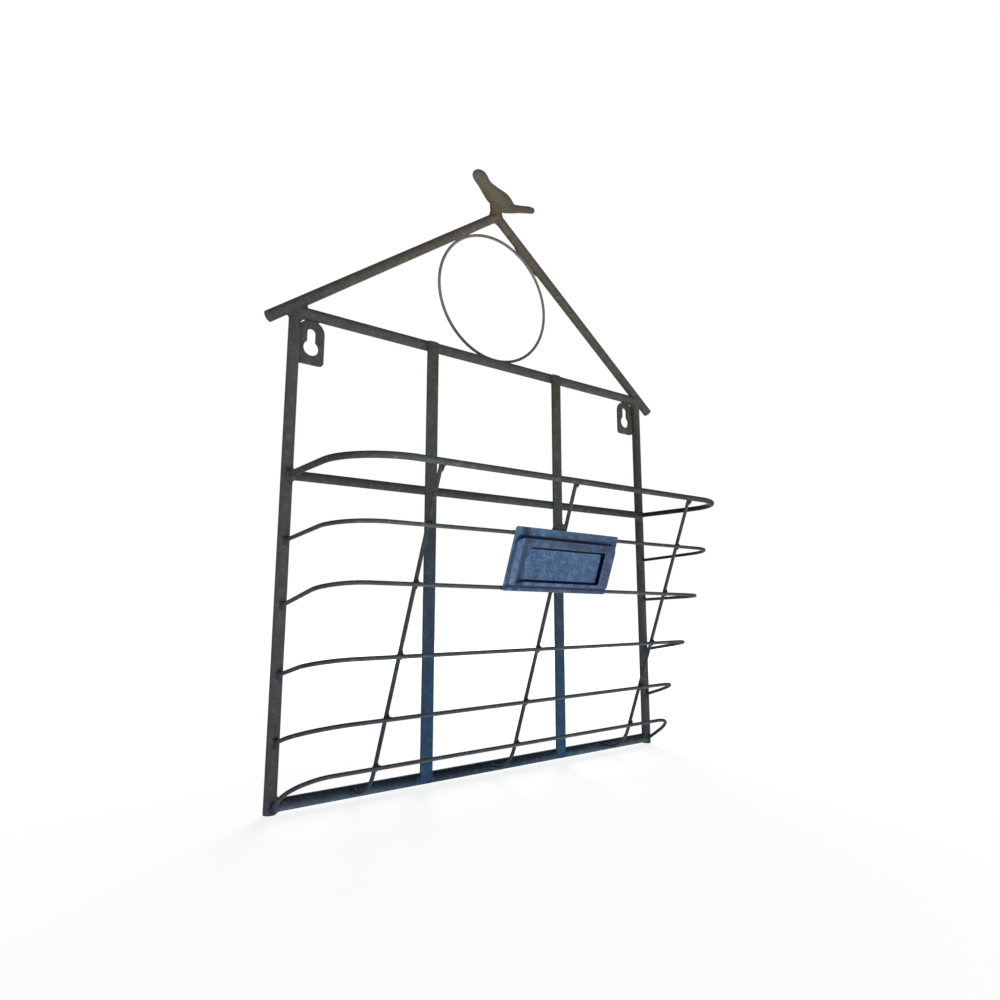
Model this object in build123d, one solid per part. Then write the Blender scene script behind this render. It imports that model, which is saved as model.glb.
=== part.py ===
from build123d import *
from math import cos, hypot, radians, sin, sqrt, tan
import os

# A wall-hung letter rack of welded rod and wire, in millimetres.
# Heights are measured up from the bottom rail's axis and depths forward from the posts' axes;
# the export moves the origin to the wall, midway between the two keyhole hangers.

# Frame of round rod
post_spacing = 260.0
frame_rod_diameter = 6.0
middle_rail_diameter = 5.0
tie_height = 243.2
middle_rail_height = 156.2
post_foot = 0.5
roof_pitch = 37.2
rafter_lift = 3.5
eave_overhang = 17.1

# Gable ring
ring_wire_diameter = 1.8

# Upright slats, flat strip on the fronts of the rails
slat_spacing = 96.0
slat_shift = -1.0
slat_width = 7.0
slat_thickness = 1.5
slat_end_radius = 1.0
slat_rise_past_tie = 1.8
slat_drop_past_rail = 1.8

# Keyhole hangers
hanger_inset = 10.0
hanger_thickness = 1.5
hanger_hole_drop = 17.5
hanger_hole_diameter = 8.4
hanger_slot_width = 4.8
hanger_slot_rise = 8.4
hanger_rim = 7.0
hanger_below_hole = 9.0
hanger_tuck = 2.4
hanger_lap = 0.8
hanger_top_radius = 7.0
hanger_bottom_radius = 2.0

# Basket of bent wire, leaning forward
basket_lean = 20.0
basket_foot_depth = 18.5
basket_wire_diameter = 2.0
rim_wire_diameter = 3.2
brace_wire_diameter = 2.0
arm_inset = 0.5
rim_bend_radius = 30.5
rim_weld_drop = 0.2
rim_front_drop = 1.0
wire_2_front_height = 127.2
wire_2_front_drop = 1.4
wire_2_weld_height = 123.1
wire_2_weld_drop = 0.2
wire_2_bend_radius = 22.8
wire_3_front_height = 99.8
wire_3_front_drop = 4.6
wire_3_weld_height = 93.2
wire_3_weld_drop = -3.4
wire_3_bend_radius = 19.0
wire_4_front_height = 68.3
wire_4_front_drop = 0.4
wire_4_weld_height = 59.3
wire_4_weld_drop = -1.0
wire_4_bend_radius = 19.5
wire_5_front_height = 39.8
wire_5_front_drop = -2.5
wire_5_weld_height = 28.2
wire_5_weld_drop = -1.1
wire_5_bend_radius = 24.6
wire_6_front_height = 16.3
wire_6_front_drop = -1.5
wire_6_weld_height = -1.9
wire_6_weld_drop = -0.4
wire_6_bend_radius = 18.6

# Braces inside the basket
left_brace_top_x = -85.5
left_brace_foot_x = -89.6
middle_brace_top_x = -3.3
middle_brace_foot_x = -5.2
right_brace_top_x = 89.9
right_brace_foot_x = 85.9
brace_foot_height = 1.0
brace_bend_radius = 19.0

# Label holder on the fronts of wires 2 and 3
label_shift = -3.9
label_turn = -1.2
plate_width = 71.0
plate_height = 33.4
plate_thickness = 1.0
plate_bottom_lap = 1.0
plate_corner_radius = 1.0
holder_side_margin = 1.0
holder_bottom_margin = 4.0
holder_top_margin = 5.0
holder_stand = 2.6
holder_sheet = 0.8
holder_corner_radius = 4.0
window_left_margin = 6.6
window_right_margin = 7.4
window_bottom_margin = 1.9
window_top_margin = 4.8
window_corner_radius = 1.0
insert_left_gap = 2.9
insert_right_gap = 1.8
insert_bottom_gap = 0.7
insert_top_gap = 0.4
insert_thickness = 1.2

# Bird on the ridge: sections across its length, given by the middle's x and height above the ridge
# point of the rafter axes, half the height, half the thickness and the slope of the section
bird_tail_sections = [
    (32.3, 16.3, 0.8, 0.9, 10.0),
    (31.0, 16.2, 1.8, 2.1, 12.0),
    (27.3, 15.5, 2.2, 2.8, 14.0),
    (20.4, 13.3, 2.3, 2.9, 16.0),
    (14.0, 11.2, 2.8, 3.1, 16.0),
    (7.0, 9.5, 3.5, 3.8, 14.0),
    (0.0, 8.5, 3.4, 3.6, 10.0),
]
bird_body_sections = [
    (14.6, 11.0, 1.2, 1.4, -20.0),
    (12.4, 11.4, 2.8, 2.8, -21.0),
    (8.6, 12.1, 4.7, 4.6, -22.0),
    (3.3, 12.9, 6.4, 5.8, -25.0),
    (-3.0, 15.2, 5.8, 5.8, -33.0),
    (-8.1, 18.9, 4.6, 4.8, -39.0),
    (-11.2, 22.1, 4.4, 4.3, -41.0),
    (-13.8, 24.4, 4.0, 3.9, -34.0),
    (-16.6, 25.2, 2.5, 2.5, -18.0),
    (-18.2, 25.1, 1.0, 1.1, -6.0),
]
bird_foot_half_length = 4.4
bird_foot_half_width = 2.9
bird_foot_middle = -0.6

half_spacing = post_spacing / 2
frame_rod_radius = frame_rod_diameter / 2
middle_rail_radius = middle_rail_diameter / 2
brace_radius = brace_wire_diameter / 2
wire_radius = basket_wire_diameter / 2
slope = tan(radians(roof_pitch))
eave_height = tie_height + rafter_lift
ridge_height = eave_height + slope * half_spacing
hanger_hole_height = tie_height - hanger_hole_drop
wall_depth = -frame_rod_radius
arm_x = half_spacing - arm_inset
lean_rise = tan(radians(basket_lean))
rim_weld_height = middle_rail_height - rim_weld_drop
rim_front_height = middle_rail_height - rim_front_drop


def rod(start, end, diameter):
    """A straight round rod from one point to another."""
    along = Vector(*end) - Vector(*start)
    place = Plane(origin=start, z_dir=along)
    return place * Cylinder(diameter / 2, along.length, align=(Align.CENTER, Align.CENTER, Align.MIN))


def tube(path, diameter):
    """A round wire bent along a path."""
    section = Plane(origin=path @ 0, z_dir=path % 0) * Circle(diameter / 2)
    return sweep(section, path=path)


def front_depth(height, diameter):
    """How far forward a loop of this wire lies at this height, resting on the braces."""
    clear = (diameter / 2 + brace_radius) / cos(radians(basket_lean))
    return basket_foot_depth + lean_rise * height + clear


def loop(front_height, front_drop, weld_height, weld_drop, diameter, bend_radius):
    """One U of the basket: two arms from the posts and a front run."""
    front_left = front_height + front_drop / 2
    front_right = front_height - front_drop / 2
    weld_left = weld_height + weld_drop / 2
    weld_right = weld_height - weld_drop / 2
    path = FilletPolyline(
        (-arm_x, 0, weld_left),
        (-arm_x, -front_depth(front_left, diameter), front_left),
        (arm_x, -front_depth(front_right, diameter), front_right),
        (arm_x, 0, weld_right),
        radius=bend_radius,
    )
    return tube(path, diameter)


# Rafters, mitred at the ridge
rafter_run = half_spacing + eave_overhang * cos(radians(roof_pitch))
rafter_foot_height = ridge_height - slope * rafter_run
over_ridge = frame_rod_diameter
ridge_over = (over_ridge, 0, ridge_height + slope * over_ridge)
left_rafter = rod((-rafter_run, 0, rafter_foot_height), ridge_over, frame_rod_diameter)
left_rafter = split(left_rafter, bisect_by=Plane.YZ, keep=Keep.BOTTOM)
right_rafter = mirror(left_rafter, about=Plane.YZ)

# Posts, coped to fit under the rafters
post_bottom = -frame_rod_radius - post_foot
whole_post = rod((-half_spacing, 0, post_bottom), (-half_spacing, 0, eave_height), frame_rod_diameter)
left_post = whole_post - left_rafter
right_post = mirror(left_post, about=Plane.YZ)

# Rails, coped between the posts
tie_beam = rod((-half_spacing, 0, tie_height), (half_spacing, 0, tie_height), frame_rod_diameter)
tie_beam = tie_beam - left_post - right_post - left_rafter - right_rafter
middle_rail_depth = middle_rail_radius - frame_rod_radius
middle_rail = rod(
    (-half_spacing, middle_rail_depth, middle_rail_height),
    (half_spacing, middle_rail_depth, middle_rail_height),
    middle_rail_diameter,
)
middle_rail = middle_rail - left_post - right_post
bottom_rail = rod((-half_spacing, 0, 0), (half_spacing, 0, 0), frame_rod_diameter)
bottom_rail = bottom_rail - left_post - right_post

# Gable ring, flush with the backs of the posts, the circle that just touches the rafters and the tie beam
triangle_height = ridge_height - tie_height
triangle_half_base = triangle_height / slope
triangle_side = hypot(triangle_half_base, triangle_height)
touch_radius = triangle_half_base * triangle_height / (triangle_half_base + triangle_side)
ring_wire_radius = ring_wire_diameter / 2
ring_back = frame_rod_radius - ring_wire_radius
ring_stand = sqrt((frame_rod_radius + ring_wire_radius) ** 2 - ring_back**2)
ring_radius = touch_radius - ring_stand
ring_place = Pos(0, ring_back, tie_height + touch_radius) * Rot(90, 0, 0)
gable_ring = ring_place * Torus(ring_radius, ring_wire_radius)

# Slats on the fronts of the three rails
slat_top = tie_height + slat_rise_past_tie
slat_height = slat_top + slat_drop_past_rail
slat_front = Plane(origin=(0, -frame_rod_radius, 0), x_dir=(1, 0, 0), z_dir=(0, -1, 0))
slat_outline = RectangleRounded(slat_width, slat_height, slat_end_radius)
slat_middle = slat_height / 2 - slat_drop_past_rail
left_slat_x = slat_shift - slat_spacing / 2
right_slat_x = slat_shift + slat_spacing / 2
left_slat = extrude(slat_front * Pos(left_slat_x, slat_middle) * slat_outline, slat_thickness)
right_slat = extrude(slat_front * Pos(right_slat_x, slat_middle) * slat_outline, slat_thickness)

# Keyhole hangers in the corners of posts and tie beam
hanger_x = half_spacing - hanger_inset
hanger_outer = hanger_inset - hanger_tuck
hanger_top = tie_height - frame_rod_radius + hanger_lap - hanger_hole_height
hanger_width = hanger_rim + hanger_outer
hanger_tall = hanger_top + hanger_below_hole
hanger_outline = Rectangle(hanger_width, hanger_tall)
hanger_outline = fillet(hanger_outline.vertices().group_by(Axis.Y)[-1], hanger_top_radius)
hanger_outline = fillet(hanger_outline.vertices().group_by(Axis.Y)[0], hanger_bottom_radius)
hanger_outline = Pos((hanger_outer - hanger_rim) / 2, (hanger_top - hanger_below_hole) / 2) * hanger_outline
hanger_outline = hanger_outline - Circle(hanger_hole_diameter / 2)
hanger_slot = Pos(0, hanger_slot_rise / 2) * Rectangle(hanger_slot_width, hanger_slot_rise)
hanger_outline = hanger_outline - hanger_slot
hanger_outline = hanger_outline - Pos(0, hanger_slot_rise) * Circle(hanger_slot_width / 2)
hanger_middle = (hanger_x, frame_rod_radius, hanger_hole_height)
hanger_back = Plane(origin=hanger_middle, x_dir=(1, 0, 0), z_dir=(0, -1, 0))
right_hanger = extrude(hanger_back * hanger_outline, hanger_thickness)
right_hanger = right_hanger - right_post - tie_beam
left_hanger = mirror(right_hanger, about=Plane.YZ)

# Basket loops, butted on the fronts of the posts
basket_rim = loop(rim_front_height, 0, rim_weld_height, 0, rim_wire_diameter, rim_bend_radius)
basket_rim = basket_rim - left_post - right_post - middle_rail
basket_wire_2 = loop(
    wire_2_front_height, wire_2_front_drop, wire_2_weld_height, wire_2_weld_drop,
    basket_wire_diameter, wire_2_bend_radius,
)
basket_wire_2 = basket_wire_2 - left_post - right_post
basket_wire_3 = loop(
    wire_3_front_height, wire_3_front_drop, wire_3_weld_height, wire_3_weld_drop,
    basket_wire_diameter, wire_3_bend_radius,
)
basket_wire_3 = basket_wire_3 - left_post - right_post
basket_wire_4 = loop(
    wire_4_front_height, wire_4_front_drop, wire_4_weld_height, wire_4_weld_drop,
    basket_wire_diameter, wire_4_bend_radius,
)
basket_wire_4 = basket_wire_4 - left_post - right_post
basket_wire_5 = loop(
    wire_5_front_height, wire_5_front_drop, wire_5_weld_height, wire_5_weld_drop,
    basket_wire_diameter, wire_5_bend_radius,
)
basket_wire_5 = basket_wire_5 - left_post - right_post
basket_wire_6 = loop(
    wire_6_front_height, wire_6_front_drop, wire_6_weld_height, wire_6_weld_drop,
    basket_wire_diameter, wire_6_bend_radius,
)
basket_wire_6 = basket_wire_6 - left_post - right_post - bottom_rail


def brace(top_x, foot_x):
    """A straight wire behind the loops, bent back under the lowest one to the bottom rail."""
    path = FilletPolyline(
        (top_x, -basket_foot_depth - lean_rise * rim_front_height, rim_front_height),
        (foot_x, -basket_foot_depth - lean_rise * brace_foot_height, brace_foot_height),
        (foot_x, 0, brace_foot_height),
        radius=brace_bend_radius,
    )
    return tube(path, brace_wire_diameter) - bottom_rail


left_brace = brace(left_brace_top_x, left_brace_foot_x)
middle_brace = brace(middle_brace_top_x, middle_brace_foot_x)
right_brace = brace(right_brace_top_x, right_brace_foot_x)

# Label holder: a plate on the fronts of two wires, a frame open at the top, and a blank insert
lean = radians(basket_lean)
outward = Vector(0, -cos(lean), -sin(lean))
wire_3_depth = front_depth(wire_3_front_height, basket_wire_diameter)
wire_3_middle = Vector(label_shift, -wire_3_depth, wire_3_front_height)
label_place = Plane(origin=wire_3_middle + outward * wire_radius, x_dir=(1, 0, 0), z_dir=outward)
label_place = label_place * Rot(0, 0, label_turn)
plate_outline = RectangleRounded(plate_width, plate_height, plate_corner_radius)
plate_middle = plate_height / 2 - plate_bottom_lap
label_plate = extrude(label_place * Pos(0, plate_middle, 0) * plate_outline, plate_thickness)

holder_width = plate_width - 2 * holder_side_margin
holder_height = plate_height - holder_bottom_margin - holder_top_margin
holder_middle = holder_bottom_margin - plate_bottom_lap + holder_height / 2
holder_outline = Rectangle(holder_width, holder_height)
holder_outline = fillet(holder_outline.vertices().group_by(Axis.Y)[-1], holder_corner_radius)
holder_outline = fillet(holder_outline.vertices().group_by(Axis.Y)[0], plate_corner_radius)
window_width = holder_width - window_left_margin - window_right_margin
window_height = holder_height - window_bottom_margin - window_top_margin
window_middle_x = (window_left_margin - window_right_margin) / 2
window_middle_y = (window_bottom_margin - window_top_margin) / 2
window_outline = Pos(window_middle_x, window_middle_y) * RectangleRounded(
    window_width, window_height, window_corner_radius
)
holder_place = label_place * Pos(0, holder_middle, plate_thickness)
front_sheet = extrude(holder_place * Pos(0, 0, holder_stand - holder_sheet) * holder_outline, holder_sheet)
front_sheet = front_sheet - extrude(holder_place * window_outline, holder_stand)
side_walls = extrude(holder_place * holder_outline, holder_stand)
hollow_width = holder_width - 2 * holder_sheet
hollow_outline = Pos(0, holder_sheet) * Rectangle(hollow_width, holder_height)
side_walls = side_walls - extrude(holder_place * hollow_outline, holder_stand)
label_frame = front_sheet + side_walls

insert_width = window_width - insert_left_gap - insert_right_gap
insert_height = window_height - insert_bottom_gap - insert_top_gap
insert_x = window_middle_x + (insert_left_gap - insert_right_gap) / 2
insert_y = window_middle_y + (insert_bottom_gap - insert_top_gap) / 2
insert_outline = Rectangle(insert_width, insert_height)
label_insert = extrude(holder_place * Pos(insert_x, insert_y, 0) * insert_outline, insert_thickness)


def bird_section(middle_x, middle_rise, half_height, half_thickness, section_slope):
    """An ellipse across the bird, upright when its slope is nought."""
    turn = radians(section_slope)
    place = Plane(
        origin=(middle_x, 0, ridge_height + middle_rise),
        x_dir=(0, 1, 0),
        z_dir=(-cos(turn), 0, -sin(turn)),
    )
    return place * Ellipse(half_thickness, half_height)


# Bird, cast in one piece, its foot shaped to the two rafters and its back flat against the wall
bird_tail = loft([bird_section(*values) for values in bird_tail_sections])
bird_body = loft([bird_section(*values) for values in bird_body_sections])
bird_foot = Pos(bird_foot_middle, 0, ridge_height) * extrude(
    Ellipse(bird_foot_half_length, bird_foot_half_width), bird_body_sections[3][1]
)
bird_finial = bird_body + bird_tail + bird_foot
bird_finial = bird_finial - left_rafter - right_rafter
bird_back = Plane(origin=(0, frame_rod_radius, 0), z_dir=(0, 1, 0))
bird_finial = split(bird_finial, bisect_by=bird_back, keep=Keep.BOTTOM)

pieces = {
    "left_post": left_post,
    "right_post": right_post,
    "left_rafter": left_rafter,
    "right_rafter": right_rafter,
    "tie_beam": tie_beam,
    "middle_rail": middle_rail,
    "bottom_rail": bottom_rail,
    "gable_ring": gable_ring,
    "bird_finial": bird_finial,
    "left_slat": left_slat,
    "right_slat": right_slat,
    "left_hanger": left_hanger,
    "right_hanger": right_hanger,
    "basket_rim": basket_rim,
    "basket_wire_2": basket_wire_2,
    "basket_wire_3": basket_wire_3,
    "basket_wire_4": basket_wire_4,
    "basket_wire_5": basket_wire_5,
    "basket_wire_6": basket_wire_6,
    "left_brace": left_brace,
    "middle_brace": middle_brace,
    "right_brace": right_brace,
    "label_plate": label_plate,
    "label_frame": label_frame,
    "label_insert": label_insert,
}

os.makedirs("parts", exist_ok=True)
to_wall = Pos(0, wall_depth, -hanger_hole_height)
for name, piece in pieces.items():
    export_step(to_wall * piece, f"parts/{name}.step")
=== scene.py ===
import bmesh
import bpy
import math
import numpy as np
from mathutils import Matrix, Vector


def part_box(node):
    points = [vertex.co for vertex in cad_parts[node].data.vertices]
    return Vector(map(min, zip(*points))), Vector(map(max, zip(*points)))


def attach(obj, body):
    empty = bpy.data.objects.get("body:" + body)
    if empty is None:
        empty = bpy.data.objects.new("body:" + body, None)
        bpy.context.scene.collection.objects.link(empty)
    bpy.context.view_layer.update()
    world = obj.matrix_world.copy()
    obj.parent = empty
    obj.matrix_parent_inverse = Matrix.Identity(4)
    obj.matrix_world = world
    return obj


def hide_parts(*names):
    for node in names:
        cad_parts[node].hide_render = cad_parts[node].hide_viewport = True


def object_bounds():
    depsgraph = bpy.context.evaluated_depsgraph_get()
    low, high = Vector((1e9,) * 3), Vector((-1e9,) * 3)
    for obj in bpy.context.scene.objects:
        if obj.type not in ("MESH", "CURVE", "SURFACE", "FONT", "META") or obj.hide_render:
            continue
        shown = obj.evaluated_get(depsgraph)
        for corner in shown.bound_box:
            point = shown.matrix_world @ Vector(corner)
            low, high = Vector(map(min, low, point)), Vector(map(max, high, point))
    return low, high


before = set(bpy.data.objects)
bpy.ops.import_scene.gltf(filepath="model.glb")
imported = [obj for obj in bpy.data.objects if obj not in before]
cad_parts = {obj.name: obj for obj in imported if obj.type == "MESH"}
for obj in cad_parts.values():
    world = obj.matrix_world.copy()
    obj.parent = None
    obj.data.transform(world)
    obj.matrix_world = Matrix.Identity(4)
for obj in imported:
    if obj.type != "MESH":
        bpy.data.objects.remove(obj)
solid_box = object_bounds()

# House frame: two posts, two rafters, a tie beam, a middle rail and a bottom rail of round mild-steel
# rod, cut, coped and welded. All of it is sprayed with a satin charcoal paint, brownish up at the
# ridge and blue-black low down, where a blue reflection from below is painted in. The solids carry
# the shape; the paint and the welds are added here.


def linear(hex_colour):
    """A colour written as an sRGB hex value, as linear red, green, blue and alpha."""
    parts = [int(hex_colour[k : k + 2], 16) / 255 for k in (1, 3, 5)]
    return [p / 12.92 if p <= 0.04045 else ((p + 0.055) / 1.055) ** 2.4 for p in parts] + [1.0]


def add(tree, kind, links=None, **settings):
    """Adds a node, sets its properties, or its inputs by name (in_ and a number for an input without
    a name of its own), and links its inputs."""
    node = tree.nodes.new(kind)
    for key, value in settings.items():
        if hasattr(node, key):
            setattr(node, key, value)
        else:
            socket = int(key[3:]) if key.startswith("in_") else key.replace("_", " ")
            node.inputs[socket].default_value = value
    for key, source in (links or {}).items():
        tree.links.new(source, node.inputs[key])
    return node


def colour_stops(ramp, stops):
    """Sets a colour ramp's stops from pairs of place and hex colour."""
    band = ramp.color_ramp
    for element, (place, colour) in zip(band.elements, (stops[0], stops[-1])):
        element.position, element.color = place, linear(colour)
    for place, colour in stops[1:-1]:
        band.elements.new(place).color = linear(colour)
    return ramp.outputs["Color"]


def satin_paint(
    name, by_height, side_shade_stops=None, fleck="#8a8c8c", fleck_share=0.3, cloud_mm=6.0, swing=0.22
):
    """Satin paint sprayed over steel. To the eye it is dark and even from afar, and close up it is
    cloudy, with a fine grain, a slight orange-peel relief and pale flecks where it is rubbed. The
    real grain is near 0.3 mm, too fine to show, so it is drawn at 1.1 mm. The tone changes with the
    height on the rack, and on some paints it holds a painted blue reflection low down and a painted
    highlight; some paints are also toned down from side to side as painted shade, as photographed."""
    grain_mm, spot_mm, peel_depth = 1.1, 3.0, 0.00008
    lowest, highest, half_width = -0.2292, 0.148, 0.13
    paint = bpy.data.materials.new(name)
    paint.use_nodes = True
    tree = paint.node_tree
    shader = tree.nodes["Principled BSDF"]
    place = add(tree, "ShaderNodeTexCoord").outputs["Object"]
    parts = add(tree, "ShaderNodeSeparateXYZ", {"Vector": place}).outputs
    rise = add(tree, "ShaderNodeMapRange", {"Value": parts["Z"]}, From_Min=lowest, From_Max=highest)
    tone = colour_stops(add(tree, "ShaderNodeValToRGB", {"Fac": rise.outputs["Result"]}), by_height)
    if side_shade_stops:
        # Painted shade: the tone is toned down from side to side by the given stops
        across = add(
            tree, "ShaderNodeMapRange", {"Value": parts["X"]},
            From_Min=-half_width, From_Max=half_width,
        ).outputs["Result"]
        darker = colour_stops(add(tree, "ShaderNodeValToRGB", {"Fac": across}), side_shade_stops)
        tone = add(
            tree, "ShaderNodeVectorMath", {0: tone, 1: darker}, operation="MULTIPLY"
        ).outputs[0]
    cloud = add(
        tree, "ShaderNodeTexNoise", {"Vector": place},
        Scale=1000 / cloud_mm, Detail=3.0, Roughness=0.6,
    ).outputs["Fac"]
    grain = add(
        tree, "ShaderNodeTexNoise", {"Vector": place},
        Scale=1000 / grain_mm, Detail=2.0, Roughness=0.7,
    ).outputs["Fac"]
    uneven = add(tree, "ShaderNodeMath", {0: cloud, 1: grain}, operation="ADD").outputs[0]
    shade = add(
        tree, "ShaderNodeMapRange", {"Value": uneven},
        From_Min=0.7, From_Max=1.3, To_Min=1 - swing, To_Max=1 + swing,
    ).outputs["Result"]
    body = add(tree, "ShaderNodeVectorMath", {0: tone, 1: shade}, operation="MULTIPLY").outputs[0]
    spots = add(
        tree, "ShaderNodeTexNoise", {"Vector": place},
        Scale=1000 / spot_mm, Detail=5.0, Roughness=0.85,
    ).outputs["Fac"]
    rubbed = add(
        tree, "ShaderNodeMapRange", {"Value": spots},
        From_Min=0.56, From_Max=0.70, To_Min=0.0, To_Max=fleck_share,
    ).outputs["Result"]
    worn = add(tree, "ShaderNodeMix", {0: rubbed, 6: body}, data_type="RGBA")
    worn.inputs[7].default_value = linear(fleck)
    tree.links.new(worn.outputs[2], shader.inputs["Base Color"])
    dull = add(
        tree, "ShaderNodeMapRange", {"Value": cloud},
        From_Min=0.3, From_Max=0.7, To_Min=0.42, To_Max=0.6,
    )
    tree.links.new(dull.outputs["Result"], shader.inputs["Roughness"])
    peel = add(tree, "ShaderNodeBump", {"Height": uneven}, Strength=0.8, Distance=peel_depth)
    tree.links.new(peel.outputs["Normal"], shader.inputs["Normal"])
    shader.inputs["Specular IOR Level"].default_value = 0.02
    return paint


def coat(paint, *names):
    """Puts a paint on solids of the rack."""
    for name in names:
        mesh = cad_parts[name].data
        mesh.materials.clear()
        mesh.materials.append(paint)


# Posts and roof: grey low down, olive-brown at the ridge
charcoal = satin_paint(
    "charcoal_satin_paint",
    [
        (0.0, "#4a4c50"), (0.3, "#4b4d4e"), (0.58, "#4c4c4a"),
        (0.64, "#444443"), (0.8, "#4b4943"), (1.0, "#564f42"),
    ],
)
# The right post: painted shade, darker than the left post and darkest at half its height
shaded_post_black = satin_paint(
    "shaded_post_black_satin_paint",
    [
        (0.0, "#43474b"), (0.1, "#444749"), (0.28, "#434546"), (0.38, "#3b3d3e"),
        (0.47, "#3b3d3d"), (0.58, "#40413f"), (0.65, "#4f4d48"),
    ],
)
# The middle rail: lightest a little right of its middle
rail_black = satin_paint(
    "rail_black_satin_paint",
    [(0.0, "#494c4f"), (1.0, "#494c4f")],
    [
        (0.0, "#dadada"), (0.42, "#e0e0e0"), (0.54, "#ffffff"),
        (0.62, "#f0f0f0"), (0.78, "#cccccc"), (1.0, "#b0b0b0"),
    ],
)
# The bottom rail: blue-black with a painted blue reflection from below, a painted highlight along
# its lower front, painted shade left of its middle, and grey at its ends
rail_blue_painted_light = satin_paint(
    "rail_blue_painted_light_satin_paint",
    [
        (0.0, "#3d4c5c"), (0.004, "#4d6177"), (0.0075, "#4a5d72"),
        (0.0115, "#374555"), (0.02, "#384757"),
    ],
    [
        (0.1, "#ffe8e2"), (0.2, "#e7e7e7"), (0.34, "#acacac"),
        (0.52, "#b2b2b2"), (0.74, "#e7e7e7"), (1.0, "#f2e0b8"),
    ],
    fleck="#8d99a6",
)
coat(charcoal, "left_post", "left_rafter", "right_rafter", "tie_beam")
coat(shaded_post_black, "right_post")
coat(rail_black, "middle_rail")
coat(rail_blue_painted_light, "bottom_rail")

# Frame welds: where a rod meets another, a run of weld metal is ground and painted over. It reads as
# a small uneven concave fillet round the joint. Sizes are in millimetres, heights from the bottom
# rail's axis and depths from the axes of the posts.

rail_axis = sum(np.array(corner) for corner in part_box("bottom_rail")) / 2
post_x, rod_radius, rail_radius = 130.0, 3.0, 2.5
post_end, wall_side = -3.4, 2.95
tie_height, middle_height, ridge_height = 243.2, 156.2, 345.375
middle_depth = -0.5
pitch = math.radians(37.2)
sideways, upright = np.array([1.0, 0, 0]), np.array([0, 0, 1.0])


def unit(vector):
    """A vector scaled to length one."""
    vector = np.asarray(vector, float)
    return vector / np.linalg.norm(vector, axis=-1, keepdims=True)


def skin(grid, ring=False):
    """Points, quads and triangles of a surface given as a grid of points whose columns close on
    themselves. Its rows close on themselves too in a ring; otherwise each end row is closed by a fan
    of triangles to its middle."""
    rows, columns = grid.shape[:2]
    points = grid.reshape(-1, 3)
    here = np.arange(rows * columns).reshape(rows, columns)
    beside = np.roll(here, -1, axis=1)
    if ring:
        above, above_beside = np.roll(here, -1, axis=0), np.roll(beside, -1, axis=0)
        quads = np.stack([here, beside, above_beside, above], -1)
        return points, quads.reshape(-1, 4), np.empty((0, 3), int)
    quads = np.stack([here[:-1], beside[:-1], beside[1:], here[1:]], -1)
    hub = np.full(columns, rows * columns)
    fans = np.stack([[hub, beside[0], here[0]], [hub + 1, here[-1], beside[-1]]])
    points = np.concatenate([points, grid[[0, -1]].mean(1)])
    return points, quads.reshape(-1, 4), fans.transpose(0, 2, 1).reshape(-1, 3)


def make_piece(name, skins, paint):
    """Joins closed surfaces, in millimetres from the bottom rail's axis, into one object on the rack,
    smooth but for its folds."""
    fold = math.radians(40)
    points, faces, used = [], [], 0
    for skin_points, quads, fans in skins:
        points.append(skin_points / 1000 + rail_axis)
        faces += (quads + used).tolist() + (fans + used).tolist()
        used += len(skin_points)
    mesh = bpy.data.meshes.new(name)
    mesh.from_pydata(np.concatenate(points).tolist(), [], faces)
    tidy = bmesh.new()
    tidy.from_mesh(mesh)
    bmesh.ops.recalc_face_normals(tidy, faces=tidy.faces)
    tidy.to_mesh(mesh)
    tidy.free()
    mesh.polygons.foreach_set("use_smooth", np.ones(len(mesh.polygons), bool))
    mesh.set_sharp_from_angle(angle=fold)
    mesh.materials.append(paint)
    piece = bpy.data.objects.new(name, mesh)
    bpy.context.scene.collection.objects.link(piece)
    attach(piece, "root")
    return piece


def wobble(turn, seed, depth):
    """An uneven factor about 1 along a curve: waves of two, three and four to the turn, with seeded
    phases."""
    phases = np.random.default_rng(seed).uniform(0, 2 * np.pi, 3)
    return 1 + depth * np.sin(np.outer(turn, [2, 3, 4]) + phases).mean(axis=1)


def fillet(corner, foot_one, foot_two, ring=False):
    """A concave weld along a corner line. Across it the face is corner + (1-t)^2 foot one + t^2 foot
    two, a quadratic curve from one surface to the other, and it closes inside the metal."""
    face_points, root_depth = 7, 0.3
    t = np.linspace(0, 1, face_points)[None, :, None]
    face = corner[:, None] + (1 - t) ** 2 * foot_one[:, None] + t**2 * foot_two[:, None]
    root = corner - root_depth * (foot_one + foot_two)
    return skin(np.concatenate([face, root[:, None]], axis=1), ring)


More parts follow.
